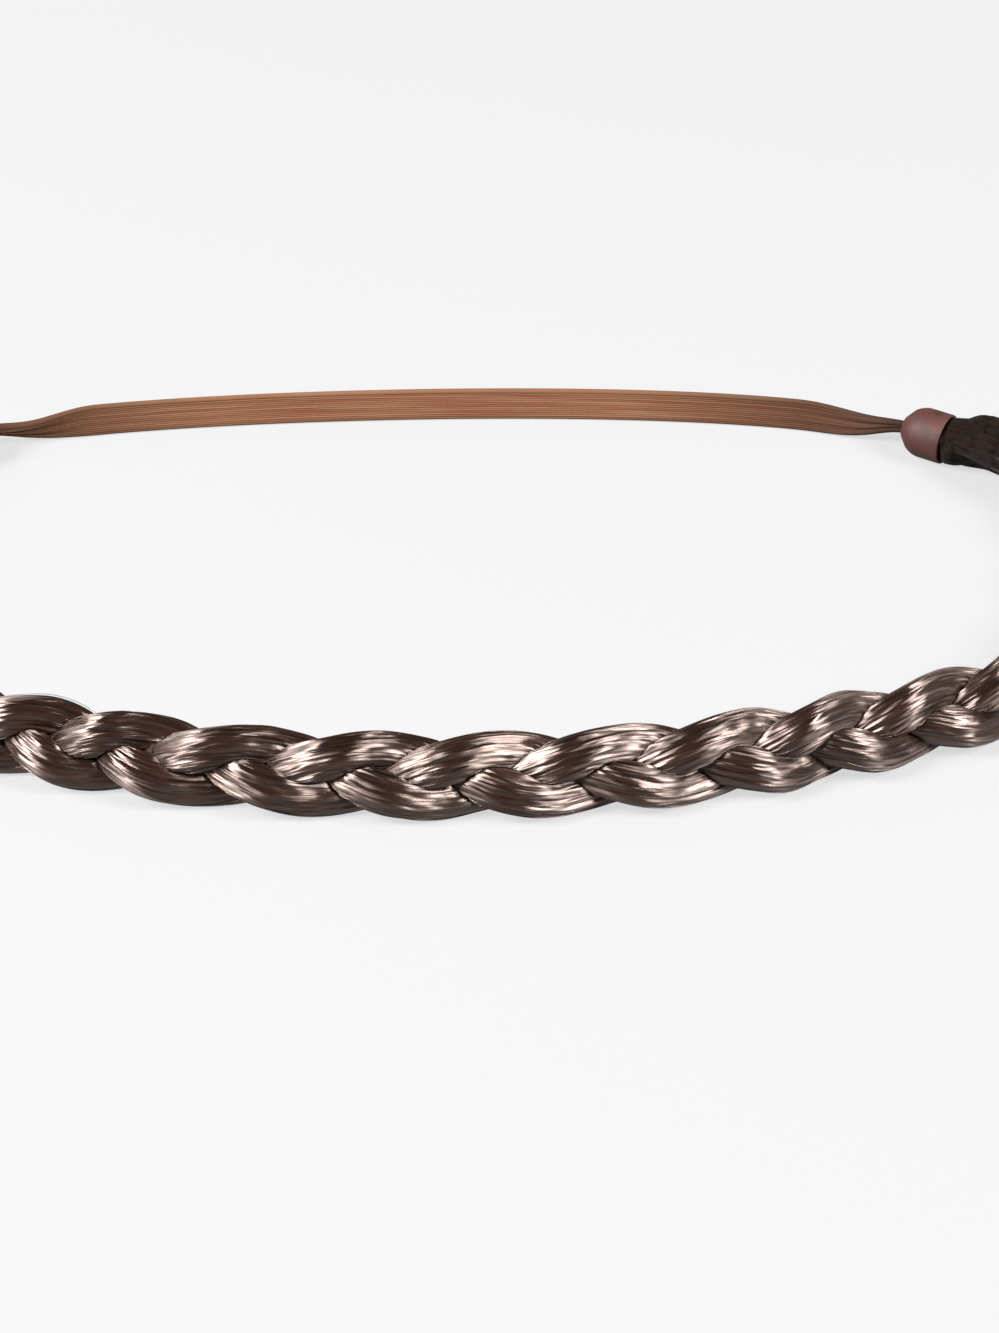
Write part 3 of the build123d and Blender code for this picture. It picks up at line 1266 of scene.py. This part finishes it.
@dataclass
class EndCap:
    """A small dipped cap, open over the hair and closed to a nose round the elastic."""

    plan: LoopPlan
    side: Side
    nose_length: float = 2.7
    wall: float = 0.45
    hole_radius: float = 1.45
    rounding: float = 1.2
    shoulder_fall: float = 0.7
    inner_fall: float = 0.8
    inner_draft: float = 0.06
    shoulder_steps: int = 11
    rim_steps: int = 7
    columns: int = 72

    def _profile(self) -> np.ndarray:
        """Closed outline of the wall.

        It goes from the lip round the elastic over the rounded shoulder to the rim of the mouth
        and back along the inside.

        Returns:
            Distance from the nose and radius of each point.
        """
        wall, hole, radius = self.wall, self.hole_radius, self.plan.cap_radius
        near, far = self.nose_length - self.rounding, self.nose_length + self.rounding
        lip = np.array([[0.03, hole + 0.1], [0.0, hole + wall * 0.5], [0.12, hole + wall]])
        bend = np.linspace(0, 1, self.shoulder_steps)[:, None]
        shoulder = (
            (1 - bend) ** 2 * np.array([near, radius - self.rounding * self.shoulder_fall])
            + 2 * bend * (1 - bend) * np.array([self.nose_length, radius])
            + bend**2 * np.array([far, radius])
        )
        turn = np.linspace(math.pi / 2, -math.pi / 2, self.rim_steps)
        rim = np.stack(
            [
                self.plan.cap_length - wall / 2 + wall / 2 * np.cos(turn),
                radius - wall / 2 + wall / 2 * np.sin(turn),
            ],
            axis=-1,
        )
        inner = np.array(
            [
                [far, radius - wall],
                [self.nose_length, radius - wall - self.inner_draft],
                [near, radius - wall - self.rounding * self.inner_fall],
                [wall, hole],
            ]
        )
        return np.concatenate([lip, shoulder, rim, inner])

    def build(self) -> Part:
        """Makes the cap's mesh.

        Returns:
            The cap.
        """
        x, y, heading = self.plan.nose()
        sign = self.side.value
        into = np.array([-sign * math.cos(heading), -math.sin(heading), 0.0])
        beside = np.array([-into[1], into[0], 0.0])
        up = np.array([0.0, 0.0, 1.0])
        nose = np.array([sign * x, y, self.plan.cap_radius])
        profile = self._profile()
        angle = 2 * math.pi * np.arange(self.columns) / self.columns
        radial = np.cos(angle)[:, None] * beside + np.sin(angle)[:, None] * up
        rings = (
            nose
            + profile[:, 0, None, None] * into
            + profile[:, 1, None, None] * radial[None, :, :]
        )
        count = len(profile)
        quads = ring_quads(count, self.columns, closed_along=True)
        return make_mesh(
            f"cap_shell_{self.side.name.lower()}",
            rings.reshape(-1, 3) * MM,
            quads,
            np.zeros((len(quads), 4, 2)),
            [],
        )


@dataclass(frozen=True)
class Softbox:
    """A soft square light that faces the loop.

    Its azimuth is in degrees to the right of the camera, its power in watts, and its side and
    its distance from the loop in metres.
    """

    name: str
    azimuth: float
    elevation: float
    power: float
    side: float = 0.5
    away: float = 1.3

    def build(self) -> None:
        """Adds the light."""
        data = bpy.data.lights.new(self.name, "AREA")
        data.size = self.side
        data.energy = self.power
        light = bpy.data.objects.new(self.name, data)
        a, e = math.radians(self.azimuth), math.radians(self.elevation)
        back = Vector((math.sin(a) * math.cos(e), -math.cos(a) * math.cos(e), math.sin(e)))
        light.location = back * self.away
        light.rotation_mode = "QUATERNION"
        light.rotation_quaternion = (-back).to_track_quat("-Z", "Y")
        bpy.context.scene.collection.objects.link(light)


@dataclass
class Studio:
    """Floor, lights and camera."""

    softboxes: tuple[Softbox, ...] = (
        Softbox("left_softbox", azimuth=-68.0, elevation=40.0, power=90.0),
        Softbox("right_softbox", azimuth=64.0, elevation=40.0, power=62.0),
        Softbox("left_fill", azimuth=-128.0, elevation=30.0, power=8.0),
        Softbox("right_fill", azimuth=128.0, elevation=30.0, power=3.0),
    )
    sky: str = "ffffff"
    sky_strength: float = 0.1
    floor_half: float = 6000.0
    floor_drop: float = 0.02
    target: tuple[float, float, float] = (8.63, -15.86, 0.0)
    elevation: float = 36.35
    yaw: float = 0.45
    distance: float = 600.0
    focal_pixels: float = 3808.3
    picture_height: int = 1333
    sensor: float = 36.0
    nearest: float = 10.0

    def build(self) -> None:
        """Makes all of it."""
        self._floor()
        self._world()
        for softbox in self.softboxes:
            softbox.build()
        self._camera()
        scene = bpy.context.scene
        scene.view_settings.view_transform = "Standard"
        scene.view_settings.look = "None"

    def _floor(self) -> None:
        """Lays the floor a hair's breadth under the loop."""
        half = self.floor_half
        points = np.array([[-half, -half], [half, -half], [half, half], [-half, half]])
        points = np.column_stack([points, np.full(4, -self.floor_drop)]) * MM
        floor = make_mesh("floor", points, np.array([[0, 1, 2, 3]]), np.zeros((1, 4, 2)), [])
        floor.data.materials.append(LightTable().build())

    def _world(self) -> None:
        """Even pale light from all round."""
        world = bpy.data.worlds.new("studio")
        world.use_nodes = True
        background = world.node_tree.nodes["Background"]
        background.inputs["Color"].default_value = linear_colour(self.sky)
        background.inputs["Strength"].default_value = self.sky_strength
        bpy.context.scene.world = world

    def _camera(self) -> None:
        """Sets the camera where the photograph was taken from."""
        data = bpy.data.cameras.new("camera")
        data.lens = self.focal_pixels * self.sensor / self.picture_height
        data.sensor_width = self.sensor
        data.clip_start = self.nearest * MM
        camera = bpy.data.objects.new("camera", data)
        e, turn = math.radians(self.elevation), math.radians(self.yaw)
        ahead = Vector((math.sin(turn) * math.cos(e), math.cos(turn) * math.cos(e), -math.sin(e)))
        camera.location = (Vector(self.target) - ahead * self.distance) * MM
        camera.rotation_mode = "QUATERNION"
        camera.rotation_quaternion = ahead.to_track_quat("-Z", "Y")
        bpy.context.scene.collection.objects.link(camera)
        bpy.context.scene.camera = camera


def main() -> None:
    """Builds the headband piece by piece."""
    logging.basicConfig(level=logging.INFO, format="%(name)s %(message)s")
    plan = LoopPlan()
    plaiting = Plaiting(plan)
    hair = SyntheticHair().build()
    for strand in Strand:
        lock = HairLock(plaiting, strand)
        place_piece(lock.build(), hair, (f"strand_{strand.letter}",))
        place_piece(LooseHairs(lock).build(), hair)
    ribbon = ElasticRibbon(plan)
    yarn = WovenElastic().build(ribbon.width)
    place_piece(ribbon.build(), yarn, ("elastic_band",))
    plastic = TintedPlastic().build()
    for side in Side:
        place_piece(GatheredHair(plaiting, side).build(), hair)
        cap = EndCap(plan, side)
        place_piece(cap.build(), plastic, (f"end_cap_{side.name.lower()}",))
    Studio().build()


if __name__ == "__main__":
    main()
